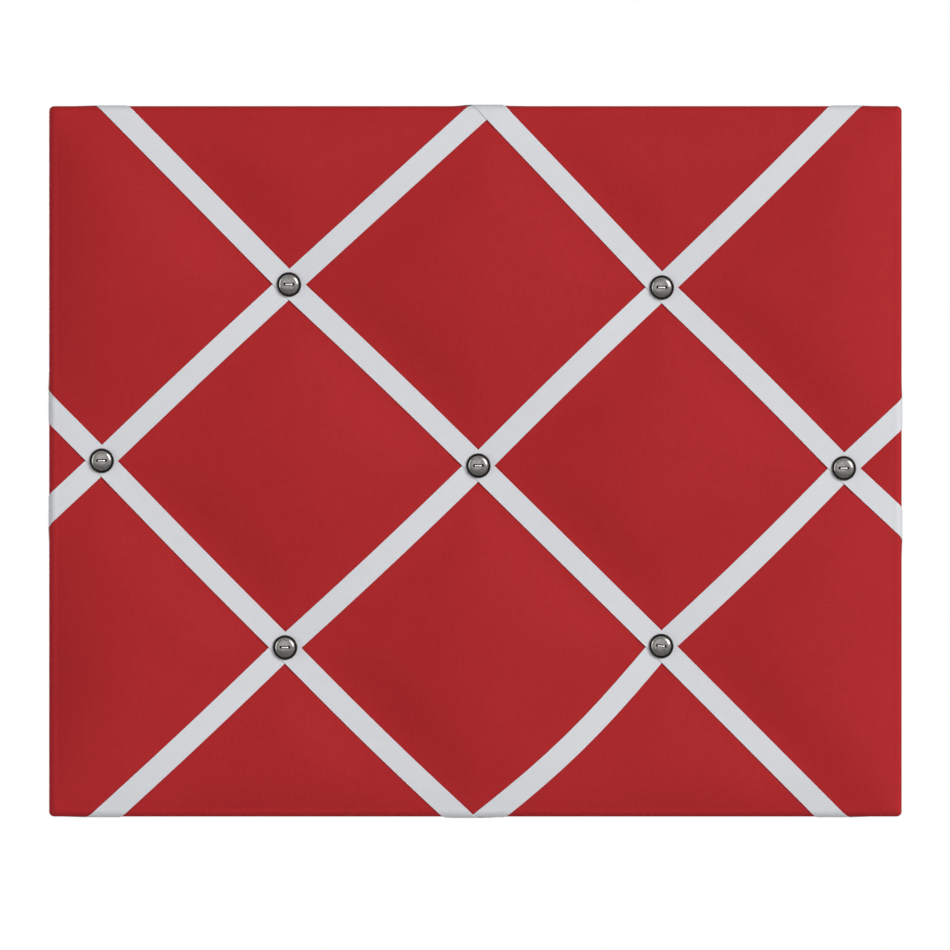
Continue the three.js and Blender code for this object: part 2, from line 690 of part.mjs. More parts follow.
// A strap of sheet steel folded double, with an eye for the ring; the eye's middle is at z = 0
function strapShape() {
  const lower = GAP + STRAP_METAL;
  const upper = lower + STRAP_FOLD_SLIT;
  const meetInside = Math.asin((upper - RING_PIVOT_Y) / EYE_INSIDE);
  const meetOutside = Math.asin((STRAP_BACK - RING_PIVOT_Y) / EYE_OUTSIDE);
  const section = new THREE.Shape();
  section.moveTo(-STRAP_LENGTH, GAP);
  section.lineTo(0, GAP);
  section.absarc(0, RING_PIVOT_Y, EYE_OUTSIDE, -Math.PI / 2, Math.PI - meetOutside, false);
  section.lineTo(-STRAP_LENGTH, STRAP_BACK);
  section.lineTo(-STRAP_LENGTH, upper);
  section.absarc(0, RING_PIVOT_Y, EYE_INSIDE, Math.PI - meetInside, -Math.PI / 2, true);
  section.lineTo(-STRAP_LENGTH, lower);
  const form = { depth: STRAP_WIDTH, bevelEnabled: false, curveSegments: 10 };
  const folded = new THREE.ExtrudeGeometry(section, form);
  folded.rotateY(-Math.PI / 2).translate(STRAP_WIDTH / 2, 0, 0);
  const half = STRAP_WIDTH / 2;
  const plan = new THREE.Shape();
  plan.absarc(0, half - STRAP_LENGTH + GAP, half, Math.PI, 2 * Math.PI);
  plan.lineTo(half, STRAP_LENGTH);
  plan.lineTo(-half, STRAP_LENGTH);
  const hole = new THREE.Path();
  hole.absarc(0, -SCREW_BELOW_RING, SCREW_SHANK / 2 + GAP, 0, 2 * Math.PI);
  plan.holes.push(hole);
  return solid(folded).intersect(solid(extrudeToFront(plan, DEEP, -DEEP, 8)));
}

// A D of round wire: the straight side lies along X through z = 0, the bow stands above it
function ringShape() {
  const half = (RING_WIDTH + RING_WIRE) / 2;
  const bow = RING_HEIGHT - RING_CORNER;
  const loop = new THREE.Path();
  loop.moveTo(RING_CORNER - half, 0);
  loop.lineTo(half - RING_CORNER, 0);
  loop.absarc(half - RING_CORNER, RING_CORNER, RING_CORNER, -Math.PI / 2, 0);
  loop.absellipse(0, RING_CORNER, half, bow, 0, Math.PI);
  loop.absarc(RING_CORNER - half, RING_CORNER, RING_CORNER, Math.PI, (3 * Math.PI) / 2);
  const points = loop.getSpacedPoints(RING_PLACES).slice(0, -1);
  const path = new THREE.CatmullRomCurve3(points.map(({ x, y }) => new THREE.Vector3(x, 0, y)), true);
  return new THREE.TubeGeometry(path, RING_PLACES, RING_WIRE / 2, RING_SIDES, true);
}

// A pan-head wood screw whose head seats on the strap, point towards the front
function screwShape() {
  const shank = SCREW_SHANK / 2;
  const head = SCREW_HEAD / 2;
  const seat = STRAP_BACK + GAP;
  const profile = [
    [0, -SCREW_DEPTH],
    [SCREW_TIP / 2, -SCREW_DEPTH],
    [shank, -SCREW_DEPTH + SCREW_TAPER],
    [shank, seat],
    [head, seat],
    [head, seat + SCREW_HEAD_EDGE],
    [head - SCREW_HEAD_EDGE, seat + SCREW_HEAD_HEIGHT - SCREW_HEAD_EDGE / 2],
    [0, seat + SCREW_HEAD_HEIGHT],
  ].map(([radius, y]) => new THREE.Vector2(radius, y));
  return new THREE.LatheGeometry(profile, 16);
}

// Assembly
const memoBoard = new THREE.Group();

function place(name, shape, material, x = 0, y = 0, z = 0) {
  const geometry = shape.isBufferGeometry ? shape : shapeOf(shape);
  const mesh = new THREE.Mesh(geometry, material);
  mesh.name = name;
  mesh.position.set(x, y, z);
  memoBoard.add(mesh);
  return mesh;
}

const buttonPlaces = Object.entries(BUTTONS).map(([name, [i, j]]) => [name, crossingPoint(i, j)]);
const hangerPlaces = Object.entries({ left: -HANGER_SPACING / 2, right: HANGER_SPACING / 2 });
const staples = stapleList();

const wireSlots = joined(buttonPlaces.map(([, { x, y: z }]) => wireSlot(x, z)));
const allStapleSlots = joined(staples.map(stapleSlots));
const pilotHoles = joined(hangerPlaces.map(([, x]) => {
  const radius = SCREW_SHANK / 2 + GAP;
  const depth = SCREW_DEPTH + GAP;
  const hole = new THREE.CylinderGeometry(radius, radius, 2 * depth, 12);
  return solid(hole.translate(x, 0, HANGER_Z - SCREW_BELOW_RING));
}));

const boardBody = solid(loft([outlineLoop(0, 0), outlineLoop(0, -BOARD_THICKNESS)]));
const drilledBoard = boardBody.subtract(wireSlots).subtract(allStapleSlots).subtract(pilotHoles);
place('backing_board', drilledBoard, hardboard);

const padBody = cushion(0, -PAD_BASE);
place('padding', padBody.subtract(wireSlots), wadding);

// The cover's turned-in edges leave a window, and meet at each corner in a mitre
const turnedIn = outlineLoop(CLOTH_TURN_IN, DEEP);
const window = solid(loft([turnedIn, outlineLoop(CLOTH_TURN_IN, 0)]));
const mitres = joined([[1, 1], [-1, 1], [-1, -1], [1, -1]].map(([signX, signZ]) => {
  const reach = (CLOTH_TURN_IN + DEEP) / 2;
  const slit = block(
    new THREE.Vector3(-reach * Math.SQRT2, 0, -MITRE_SLIT / 2),
    new THREE.Vector3(0, DEEP, MITRE_SLIT / 2),
  );
  slit.rotateY(Math.atan2(-signZ, signX));
  const inset = CLOTH_OUTSIDE + RIBBON_MARGIN;
  return solid(slit.translate(signX * (HALF_WIDTH - inset), 0, signZ * (HALF_HEIGHT - inset)));
}));
const clothSkin = cushion(CLOTH_OUTSIDE, CLOTH_OUTSIDE).subtract(cushion(CLOTH_INSIDE, CLOTH_INSIDE));
const cover = clothSkin.subtract(window).subtract(mitres).subtract(wireSlots).subtract(allStapleSlots);
place('fabric_cover', cover, clothRed);

for (const [name, ribbon] of Object.entries(RIBBONS)) {
  const strip = solid(ribbonShape(ribbon));
  place(`ribbon_${name}`, strip.subtract(wireSlots).subtract(allStapleSlots), ribbonWhite);
}

const button = shapeOf(buttonShape());
for (const [name, point] of buttonPlaces) {
  place(`button_${name}`, button, agedNickel, point.x, 0, point.y);
  place(`button_wire_${name}`, wireShape(wireSeat(point)), agedNickel, point.x, 0, point.y);
}

const staple = stapleShape();
for (const { name, x, z, turn, seat } of staples) {
  place(name, staple, zincSteel, x, seat, z).rotation.y = turn;
}

const strap = shapeOf(strapShape());
const ring = ringShape();
const screw = screwShape();
for (const [side, x] of hangerPlaces) {
  place(`hanger_strap_${side}`, strap, zincSteel, x, 0, HANGER_Z);
  place(`hanger_ring_${side}`, ring, zincSteel, x, RING_PIVOT_Y, HANGER_Z);
  place(`hanger_screw_${side}`, screw, zincSteel, x, 0, HANGER_Z - SCREW_BELOW_RING);
}

export default memoBoard;
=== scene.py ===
import json
import math

import bmesh
import bpy
import numpy as np
from mathutils import Matrix, Vector


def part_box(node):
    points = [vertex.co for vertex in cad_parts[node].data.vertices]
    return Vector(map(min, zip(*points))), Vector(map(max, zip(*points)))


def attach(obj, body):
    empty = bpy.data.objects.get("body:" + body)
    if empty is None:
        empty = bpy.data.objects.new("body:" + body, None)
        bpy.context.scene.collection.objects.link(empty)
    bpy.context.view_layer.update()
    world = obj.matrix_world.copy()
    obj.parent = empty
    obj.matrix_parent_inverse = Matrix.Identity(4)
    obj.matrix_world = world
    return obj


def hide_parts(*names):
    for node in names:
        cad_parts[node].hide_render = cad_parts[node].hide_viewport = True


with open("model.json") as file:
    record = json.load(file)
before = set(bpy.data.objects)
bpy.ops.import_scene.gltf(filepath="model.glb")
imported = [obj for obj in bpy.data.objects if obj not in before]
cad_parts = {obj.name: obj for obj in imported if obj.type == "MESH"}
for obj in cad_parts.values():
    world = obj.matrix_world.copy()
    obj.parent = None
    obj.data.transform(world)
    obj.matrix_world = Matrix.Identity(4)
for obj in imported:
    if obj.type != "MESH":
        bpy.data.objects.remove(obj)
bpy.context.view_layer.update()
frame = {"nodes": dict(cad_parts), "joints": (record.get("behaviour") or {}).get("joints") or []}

# Sizes are in metres unless a comment says millimetres. The cloth's outer face sets the shape: half its
# width and height, the depth of its front, the radius and middle of its rim, and its back edge.
OUTLINE = (0.2399, 0.1999)
FRONT = -0.0147
RIM = 0.0045
SHOULDER = -0.0102
BACK_EDGE = 0.0009
PLAN_CORNER = 0.0029
FOLD = (OUTLINE[0] - RIM, OUTLINE[1] - RIM)

# Lengths along the cloth from the front's fold line: round the rim, down the side, round the back edge
ARC = math.pi / 2 * RIM
SIDE = -SHOULDER
BACK_ARC = math.pi / 2 * BACK_EDGE
TO_BACK = ARC + SIDE + BACK_ARC
RIM_STEPS = 7
SIDE_STEPS = 3

# The cloth's thickness, its turned-in border on the back, the narrow last row at a cut edge, and the
# band at that edge that wavers
CLOTH = 0.0005
TURN_IN = 0.040
CUT_ROW = 0.0003
CUT_BAND = 0.0005

# Mitres on the back, from the outline inwards: where the cloth is parted, where the parted sides start
# to stand open, and how far each draws back
MITRE_START = 0.002
MITRE_OPENS = 0.004
MITRE_GAP = 0.0004

# The puffs between the ribbons: how high they stand, how near a ribbon's middle line the cloth is held
# down, where the rise starts and how long it takes
PUFF_RISE = 0.0080
PUFF_HELD = 0.0072
PUFF_START = 0.0066
PUFF_REACH = 0.034

# The bed under the ribbons: how far the padding swells it, how far a button pulls it in, and how far the
# pull of a button and of the border reaches
BED_RISE = 0.0036
BUTTON_SINK = 0.00055
BUTTON_RADIUS = 0.007
BUTTON_REACH = 0.100
BORDER_REACH = 0.036

# The pad: how far it lies under the cloth's outer face, and the depth of its back
PAD_UNDER = 0.0009
PAD_BACK = -0.0063
PAD_RIM_STEPS = 5

# The ribbons: half their width, their thickness, their lift over the cloth and over each other, where
# the lift at a crossing starts and how long it takes, their tails on the back, and how far they keep from
# the board's corners there
RIBBON_HALF = 0.00635
RIBBON_THICK = 0.0003
RIBBON_OVER_CLOTH = 0.0001
RIBBON_OVER_RIBBON = 0.0004
STACK_START = 0.021
STACK_REACH = 0.010
RIBBON_TAIL = 0.016
CORNER_GAP = 0.0008

# Steps of the front's mesh, of the coarser mesh on which the puffs form and along a ribbon, and the step
# that tells how a ribbon slants at a fold
FRONT_STEP = 0.003
COARSE_STEP = 0.005
RIBBON_STEP = 0.0025
SLANT_STEP = 0.002

# Places, depths and insets that differ by less are taken as the same
SAME_PLACE = 1e-6
SAME_DEPTH = 1e-5
SAME_INSET = 2e-5

BUTTON_NAMES = ("top_left", "top_right", "left", "centre", "right", "bottom_left", "bottom_right")

# Where the ribbons' middle lines cross, x and z in millimetres
CROSSINGS = {
    "top_left": (-104.8, 99.4),
    "top_right": (104.8, 97.7),
    "left": (-210.1, 0.3),
    "centre": (1.7, -2.5),
    "right": (207.2, -3.9),
    "bottom_left": (-107.0, -104.7),
    "bottom_right": (104.5, -103.9),
    "top_edge": (6.8, 201.0),
    "bottom_edge": (-1.6, -207.0),
    "corner_top_left": (-206.8, 203.0),
    "corner_top_right": (211.0, 203.0),
    "corner_bottom_left": (-211.7, -203.0),
    "corner_bottom_right": (203.2, -203.0),
    "past_left_upper": (-315.0, 106.2),
    "past_left_lower": (-315.0, -97.8),
    "past_right_upper": (315.0, 96.6),
    "past_right_lower": (315.0, -104.3),
}
ROUTES = {
    "falling_upper": ("top_edge", "top_right", "right", "past_right_lower"),
    "falling_middle": ("corner_top_left", "top_left", "centre", "bottom_right", "corner_bottom_right"),
    "falling_lower": ("past_left_upper", "left", "bottom_left", "bottom_edge"),
    "rising_upper": ("past_left_lower", "left", "top_left", "top_edge"),
    "rising_middle": ("corner_bottom_left", "bottom_left", "centre", "top_right", "corner_top_right"),
    "rising_lower": ("bottom_edge", "bottom_right", "right", "past_right_upper"),
}
STACKED = BUTTON_NAMES + ("top_edge", "bottom_edge")

# How far a slack run of ribbon bows to the right of its own direction, in millimetres
BOW_STEPS = 10
BOWS = {
    ("bottom_edge", "bottom_right"): 4.7,
    ("bottom_right", "right"): 1.1,
    ("top_right", "right"): -0.7,
    ("top_left", "centre"): -0.6,
    ("left", "bottom_left"): 0.4,
    ("bottom_left", "bottom_edge"): 1.0,
    ("left", "top_left"): -0.4,
    ("corner_bottom_left", "bottom_left"): 0.7,
    ("bottom_left", "centre"): 0.8,
    ("centre", "top_right"): -0.8,
    ("top_right", "corner_top_right"): 0.7,
}


def crossing(name):
    x, z = CROSSINGS[name]
    return Vector((x / 1000, z / 1000))


def smooth(share):
    share = np.clip(share, 0.0, 1.0)
    return share * share * (3 - 2 * share)


# How fully something is pressed in at a distance from its outline, from 0 to 1 over a soft edge
def pressed(away, margin, edge):
    return float(smooth((margin - away) / edge))


# The course of a ribbon's middle line over the front, as points in the plane of the front
def front_course(name):
    places = ROUTES[name]
    points = [crossing(places[0])]
    for pair in zip(places, places[1:]):
        start, end = crossing(pair[0]), crossing(pair[1])
        ahead = (end - start).normalized()
        aside = Vector((ahead.y, -ahead.x)) * BOWS.get(pair, 0.0) / 1000
        steps = BOW_STEPS if pair in BOWS else 1
        for k in range(1, steps + 1):
            share = k / steps
            points.append(start.lerp(end, share) + aside * math.sin(math.pi * share))
    return points


COURSES = {name: front_course(name) for name in ROUTES}


# Distance from places on the front to the nearest ribbon's middle line
def ribbon_distance(x, z):
    nearest = np.full(np.shape(x), 1.0)
    for points in COURSES.values():
        for a, b in zip(points, points[1:]):
            run = b - a
            share = ((x - a.x) * run.x + (z - a.y) * run.y) / run.length_squared
            share = np.clip(share, 0.0, 1.0)
            away = np.hypot(x - a.x - share * run.x, z - a.y - share * run.y)
            nearest = np.minimum(nearest, away)
    return nearest


# Depth of the cloth under the ribbons: it falls back towards the buttons and towards the border
def bed(x, z):
    rise = BED_RISE
    for half, along in zip(FOLD, (x, z)):
        rise = rise * (1 - np.clip(1 - (half - np.abs(along)) / BORDER_REACH, 0.0, 1.0) ** 2)
    for name in BUTTON_NAMES:
        place = crossing(name)
        away = np.maximum(np.hypot(x - place.x, z - place.y) - BUTTON_RADIUS, 0.0)
        near = np.clip(1 - away / BUTTON_REACH, 0.0, 1.0) ** 2
        rise = rise * (1 - near) - BUTTON_SINK * near
    return FRONT - rise


# A place some way past the front's fold line, round the rim, down the side and in over the back:
# how far outside the outline it lies, and its depth
def over_edge(run, lift=0.0):
    if run <= ARC:
        angle = run / RIM
        return (RIM + lift) * math.sin(angle) - RIM, SHOULDER - (RIM + lift) * math.cos(angle)
    if run <= ARC + SIDE:
        return lift, SHOULDER + run - ARC
    if run <= TO_BACK:
        angle = (run - ARC - SIDE) / BACK_EDGE
        radius = BACK_EDGE + lift
        return radius * math.cos(angle) - BACK_EDGE, radius * math.sin(angle)
    return TO_BACK - BACK_EDGE - run, BACK_EDGE + lift


# A place by its distance out across an edge and its place along that edge, as x and z. The axis is 0 for
# the upright edges and 1 for the level ones.
def across_edge(axis, out, along):
    return (out, along) if axis == 0 else (along, out)


# Runs past the fold at which cloth or ribbon is drawn
def edge_runs(inwards, steps):
    runs = [ARC * k / RIM_STEPS for k in range(1, RIM_STEPS + 1)]
    runs += [ARC + SIDE * k / SIDE_STEPS for k in range(1, SIDE_STEPS + 1)]
    runs += [ARC + SIDE + BACK_ARC * k / SIDE_STEPS for k in range(1, SIDE_STEPS + 1)]
    end = TO_BACK + inwards - BACK_EDGE
    runs += [TO_BACK + (end - TO_BACK) * k / steps for k in range(1, steps)]
    return runs + [end - CUT_ROW, end]


def new_piece(name, bm, body="board", smooth_angle=None):
    mesh = bpy.data.meshes.new(name)
    bm.to_mesh(mesh)
    bm.free()
    mesh.shade_smooth()
    if smooth_angle is not None:
        mesh.set_sharp_from_angle(angle=math.radians(smooth_angle))
    piece = bpy.data.objects.new(name, mesh)
    bpy.context.scene.collection.objects.link(piece)
    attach(piece, body)
    return piece


def finish_piece(piece, nodes, material):
    piece.data.materials.clear()
    piece.data.materials.append(material)
    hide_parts(*nodes)


# Materials
def start_material(name):
    material = bpy.data.materials.new(name)
    material.use_nodes = True
    tree = material.node_tree
    return material, tree, tree.nodes["Principled BSDF"]


def add_node(tree, kind, **settings):
    node = tree.nodes.new("ShaderNode" + kind)
    for key, value in settings.items():
        setattr(node, key, value)
    return node


def add_noise(tree, place, scale, detail=3.0, roughness=0.55):
    noise = add_node(tree, "TexNoise")
    noise.inputs["Scale"].default_value = scale
    noise.inputs["Detail"].default_value = detail
    noise.inputs["Roughness"].default_value = roughness
    tree.links.new(place, noise.inputs["Vector"])
    return noise.outputs["Fac"]


def add_ramp(tree, source, stops):
    ramp = add_node(tree, "ValToRGB")
    elements = ramp.color_ramp.elements
    while len(elements) < len(stops):
        elements.new(0.5)
    for element, (position, colour) in zip(elements, stops):
        element.position = position
        element.color = (*colour, 1.0)
    tree.links.new(source, ramp.inputs["Fac"])
    return ramp.outputs["Color"]


def add_range(tree, source, low, high, from_low=0.0, from_high=1.0):
    mapped = add_node(tree, "MapRange")
    mapped.inputs["From Min"].default_value = from_low
    mapped.inputs["From Max"].default_value = from_high
    mapped.inputs["To Min"].default_value = low
    mapped.inputs["To Max"].default_value = high
    tree.links.new(source, mapped.inputs["Value"])
    return mapped.outputs["Result"]


def add_math(tree, operation, first, second):
    node = add_node(tree, "Math", operation=operation)
    for socket, value in zip(node.inputs, (first, second)):
        tree.links.new(value, socket)
    return node.outputs["Value"]


# Thread-like streaks: noise drawn out along one direction of the piece's flat pattern
def add_threads(tree, place, width, drawn_out):
    drawn = add_node(tree, "Mapping")
    drawn.inputs["Scale"].default_value = drawn_out
    tree.links.new(place, drawn.inputs["Vector"])
    return add_noise(tree, drawn.outputs["Vector"], scale=1.0 / width, detail=2.0)


def add_bump(tree, shader, height, distance, strength=1.0):
    bump = add_node(tree, "Bump")
    bump.inputs["Distance"].default_value = distance
    bump.inputs["Strength"].default_value = strength
    tree.links.new(height, bump.inputs["Height"])
    tree.links.new(bump.outputs["Normal"], shader.inputs["Normal"])


# Woven cloth or tape: threads along both directions of the piece's own flat pattern
def woven(name, dark, light, warp, weft, depth, roughness, gloss):
    material, tree, shader = start_material(name)
    place = add_node(tree, "UVMap", uv_map="flat").outputs["UV"]
    upright = add_threads(tree, place, warp, drawn_out=(1.0, 0.05, 1.0))
    level = add_threads(tree, place, weft, drawn_out=(0.05, 1.0, 1.0))
    threads = add_math(tree, "ADD", upright, level)
    clouds = add_range(tree, add_noise(tree, place, scale=14.0, detail=4.0), 0.25, 0.75)
    streaks = add_range(tree, threads, -0.25, 0.25, from_low=0.6, from_high=1.4)
    tone = add_math(tree, "ADD", streaks, clouds)
    tree.links.new(add_ramp(tree, tone, [(0.2, dark), (0.8, light)]), shader.inputs["Base Color"])
    shader.inputs["Roughness"].default_value = roughness
    shader.inputs["Specular IOR Level"].default_value = gloss
    add_bump(tree, shader, threads, depth)
    return material


# Metal with a worn, uneven finish. Where it is darkened, the piece's own attribute tells how much: patina
# in hollows, and painted shade where a piece puts it.
def aged_metal(name, worn, bright, smoothest, roughest, grain, patina_and_shade=None):
    material, tree, shader = start_material(name)
    place = add_node(tree, "TexCoord").outputs["Object"]
    mottle = add_noise(tree, place, grain, detail=5.0, roughness=0.6)
    colour = add_ramp(tree, mottle, [(0.3, worn), (0.7, bright)])
    scuffs = add_noise(tree, place, grain * 2.3)
    rough = add_range(tree, scuffs, smoothest, roughest, from_low=0.3, from_high=0.7)
    if patina_and_shade:
        held = add_node(tree, "Attribute", attribute_name="patina_and_shade").outputs["Fac"]
        mix = add_node(tree, "Mix", data_type="RGBA")
        tree.links.new(held, mix.inputs["Factor"])
        tree.links.new(colour, mix.inputs["A"])
        mix.inputs["B"].default_value = (*patina_and_shade, 1.0)
        colour = mix.outputs["Result"]
        rough = add_math(tree, "ADD", rough, add_range(tree, held, 0.0, 0.3))
    tree.links.new(colour, shader.inputs["Base Color"])
    tree.links.new(rough, shader.inputs["Roughness"])
    shader.inputs["Metallic"].default_value = 1.0
    add_bump(tree, shader, mottle, distance=0.00004, strength=0.5)
    return material


def fibre_board(name):
    material, tree, shader = start_material(name)
    place = add_node(tree, "TexCoord").outputs["Object"]
    fibres = add_noise(tree, place, scale=1300.0, detail=6.0, roughness=0.7)
    patches = add_noise(tree, place, scale=35.0)
    tone = add_math(tree, "ADD", add_range(tree, fibres, -0.3, 0.3), patches)
    stops = [(0.25, (0.13, 0.075, 0.036)), (0.5, (0.21, 0.125, 0.062)), (0.8, (0.30, 0.19, 0.10))]
    tree.links.new(add_ramp(tree, tone, stops), shader.inputs["Base Color"])
    tree.links.new(add_range(tree, fibres, 0.55, 0.8), shader.inputs["Roughness"])
    add_bump(tree, shader, fibres, distance=0.0002, strength=0.6)
    return material


def fluffy(name):
    material, tree, shader = start_material(name)
    place = add_node(tree, "TexCoord").outputs["Object"]
    strands = add_noise(tree, place, scale=500.0, detail=6.0, roughness=0.75)
    stops = [(0.3, (0.62, 0.60, 0.55)), (0.7, (0.85, 0.84, 0.80))]
    tree.links.new(add_ramp(tree, strands, stops), shader.inputs["Base Color"])
    shader.inputs["Roughness"].default_value = 1.0
    shader.inputs["Sheen Weight"].default_value = 0.3
    add_bump(tree, shader, strands, distance=0.001)
    return material


RED_COTTON = woven(
    "red_cotton", dark=(0.395, 0.0198, 0.0228), light=(0.468, 0.0268, 0.0312),
    warp=0.0005, weft=0.00046, depth=0.00008, roughness=0.6, gloss=0.05,
)
WHITE_RIBBON = woven(
    "white_ribbon", dark=(0.69, 0.70, 0.73), light=(0.75, 0.76, 0.79),
    warp=0.0005, weft=0.0004, depth=0.00004, roughness=0.6, gloss=0.1,
)
# The buttons' dark colour is patina in their hollows and painted shade on their lips.
NICKEL = aged_metal(
    "aged_nickel", worn=(0.145, 0.142, 0.136), bright=(0.235, 0.230, 0.220),
    smoothest=0.16, roughest=0.28, grain=700.0, patina_and_shade=(0.012, 0.012, 0.011),
)
WIRE_METAL = aged_metal(
    "bright_wire", worn=(0.66, 0.66, 0.65), bright=(0.84, 0.84, 0.82),
    smoothest=0.15, roughest=0.3, grain=900.0,
)
ZINC = aged_metal(
    "zinc_steel", worn=(0.38, 0.39, 0.41), bright=(0.58, 0.59, 0.61),
    smoothest=0.28, roughest=0.45, grain=350.0,
)
HARDBOARD = fibre_board("hardboard")
WADDING = fluffy("wadding")


# Cloth cover and pad
def axis_places(half):
    inner = half - FRONT_STEP
    count = max(2, round(2 * inner / FRONT_STEP))
    places = [inner * (2 * k / count - 1) for k in range(count + 1)]
    beyond = [inner + FRONT_STEP * k / 4 for k in range(1, 5)]
    return [-b for b in reversed(beyond)] + places + beyond


# Column and row of a place on a fresh grid, which reaches from -1 to 1 both ways
def grid_cell(place, columns, rows):
    return round((place.x + 1) / 2 * (columns - 1)), round((place.y + 1) / 2 * (rows - 1))


def grid_mesh(xs, zs):
    bm = bmesh.new()
    bmesh.ops.create_grid(bm, x_segments=len(xs) - 1, y_segments=len(zs) - 1, size=1.0)
    for vert in bm.verts:
        column, row = grid_cell(vert.co, len(xs), len(zs))
        vert.co = Vector((xs[column], 0.0, zs[row]))
    bmesh.ops.recalc_face_normals(bm, faces=bm.faces)
    bm.normal_update()
    bm.faces.ensure_lookup_table()
    if bm.faces[0].normal.y > 0:
        bmesh.ops.reverse_faces(bm, faces=bm.faces)
    return bm


# The cloth is pressed out between the ribbons, which hold it down, by the padding's push
def simulated_puffs(xs, zs):
    border = 0.001
    frames = 24
    bm = grid_mesh(xs, zs)
    held = bm.verts.layers.deform.verify()
    x = np.array([vert.co.x for vert in bm.verts])
    z = np.array([vert.co.z for vert in bm.verts])
    at_edge = (np.abs(x) > FOLD[0] - border) | (np.abs(z) > FOLD[1] - border)
    for vert, hold in zip(bm.verts, at_edge | (ribbon_distance(x, z) < PUFF_HELD)):
        if hold:
            vert[held][0] = 1.0
    mesh = bpy.data.meshes.new("puff_cloth")
    bm.to_mesh(mesh)
    bm.free()
    cloth = bpy.data.objects.new("puff_cloth", mesh)
    bpy.context.scene.collection.objects.link(cloth)
    cloth.vertex_groups.new(name="held")
    modifier = cloth.modifiers.new("puff", "CLOTH")
    settings = modifier.settings
    settings.quality = 6
    settings.mass = 0.2
    settings.tension_stiffness = 25.0
    settings.compression_stiffness = 15.0
    settings.shear_stiffness = 8.0
    settings.bending_stiffness = 0.4
    settings.air_damping = 4.0
    settings.vertex_group_mass = "held"
    settings.use_pressure = True
    settings.uniform_pressure_force = 4.0
    settings.effector_weights.gravity = 0.0
    modifier.point_cache.frame_start = 1
    modifier.point_cache.frame_end = frames
    scene = bpy.context.scene
    for number in range(1, frames + 1):
        scene.frame_set(number)
    puffed = cloth.evaluated_get(bpy.context.evaluated_depsgraph_get())
    raised = np.zeros((len(xs), len(zs)))
    for before, after in zip(mesh.vertices, puffed.to_mesh().vertices):
        column = int(np.argmin(np.abs(xs - before.co.x)))
        row = int(np.argmin(np.abs(zs - before.co.z)))
        raised[column, row] = before.co.y - after.co.y
    puffed.to_mesh_clear()
    bpy.data.objects.remove(cloth)
    bpy.data.meshes.remove(mesh)
    scene.frame_set(1)
    raised = np.clip(raised, 0.0, None)
    highest = float(np.percentile(raised, 98))
    return raised * PUFF_RISE / max(SAME_PLACE, highest)


COARSE_X, COARSE_Z = (np.linspace(-half, half, round(2 * half / COARSE_STEP)) for half in FOLD)
PUFFS = simulated_puffs(COARSE_X, COARSE_Z)


def puff(x, z):
    across = np.clip((x + FOLD[0]) / (2 * FOLD[0]), 0.0, 1.0) * (len(COARSE_X) - 1)
    up = np.clip((z + FOLD[1]) / (2 * FOLD[1]), 0.0, 1.0) * (len(COARSE_Z) - 1)
    i = np.minimum(across.astype(int), len(COARSE_X) - 2)
    j = np.minimum(up.astype(int), len(COARSE_Z) - 2)
    s, t = across - i, up - j
    lower = PUFFS[i, j] * (1 - s) + PUFFS[i + 1, j] * s
    upper = PUFFS[i, j + 1] * (1 - s) + PUFFS[i + 1, j + 1] * s
    clear = np.clip((ribbon_distance(x, z) - PUFF_START) / PUFF_REACH, 0.0, 1.0)
    return (lower * (1 - t) + upper * t) * clear * (2 - clear)


# Whether a place on the front's edge lies on the fold of an upright edge, axis 0, or a level one, axis 1
def at_fold(place, axis):
    return abs(abs((place.x, place.z)[axis]) - FOLD[axis]) < SAME_PLACE


# A place on a loop round the outline, for a place on the front's own edge. Corners are rounded in plan.
def loop_place(place, outside):
    axis = 0 if at_fold(place, 0) else 1
    other = 1 - axis
    ends = (place.x, place.z)
    corner = PLAN_CORNER * max(0.0, 1 + outside / RIM)
    reach = OUTLINE[other] + outside
    straight = reach - corner
    share = 1.0 if at_fold(place, other) else abs(ends[other]) / FOLD[other]
    path = share * (straight + corner * math.pi / 4)
    along, out = path, OUTLINE[axis] + outside
    if path > straight and corner > 0.0:
        angle = (path - straight) / corner
        along = straight + corner * math.sin(angle)
        out -= corner * (1 - math.cos(angle))
    return across_edge(axis, math.copysign(out, ends[axis]), math.copysign(along, ends[other]))


# Draws the edge of the cloth or pad on from one run past the fold to the next. The origins tell which
# place on the front's edge each vertex of the edge came from.
def grow_edge(bm, flat, edge, origins, runs, under):
    grown = bmesh.ops.extrude_edge_only(bm, edges=edge)["geom"]
    fresh = {}
    for vert in (part for part in grown if isinstance(part, bmesh.types.BMVert)):
        neighbours = [link.other_vert(vert) for link in vert.link_edges]
        fresh[vert] = origins[next(other for other in neighbours if other in origins)]
    last, run = runs
    outside, depth = over_edge(run, -under)
    for vert, place in fresh.items():
        x, z = loop_place(place, outside)
        vert.co = (x, depth, z)
    for face in (part for part in grown if isinstance(part, bmesh.types.BMFace)):
        upright = all(at_fold(fresh[vert], 0) for vert in face.verts if vert in fresh)
        for loop in face.loops:
            past = run if loop.vert in fresh else last
            spot = loop.vert.co
            if upright:
                loop[flat].uv = (math.copysign(FOLD[0] + past, spot.x), spot.z)
            else:
                loop[flat].uv = (spot.x, math.copysign(FOLD[1] + past, spot.z))
    links = [part for part in grown if isinstance(part, bmesh.types.BMEdge)]
    return [link for link in links if all(vert in fresh for vert in link.verts)], fresh


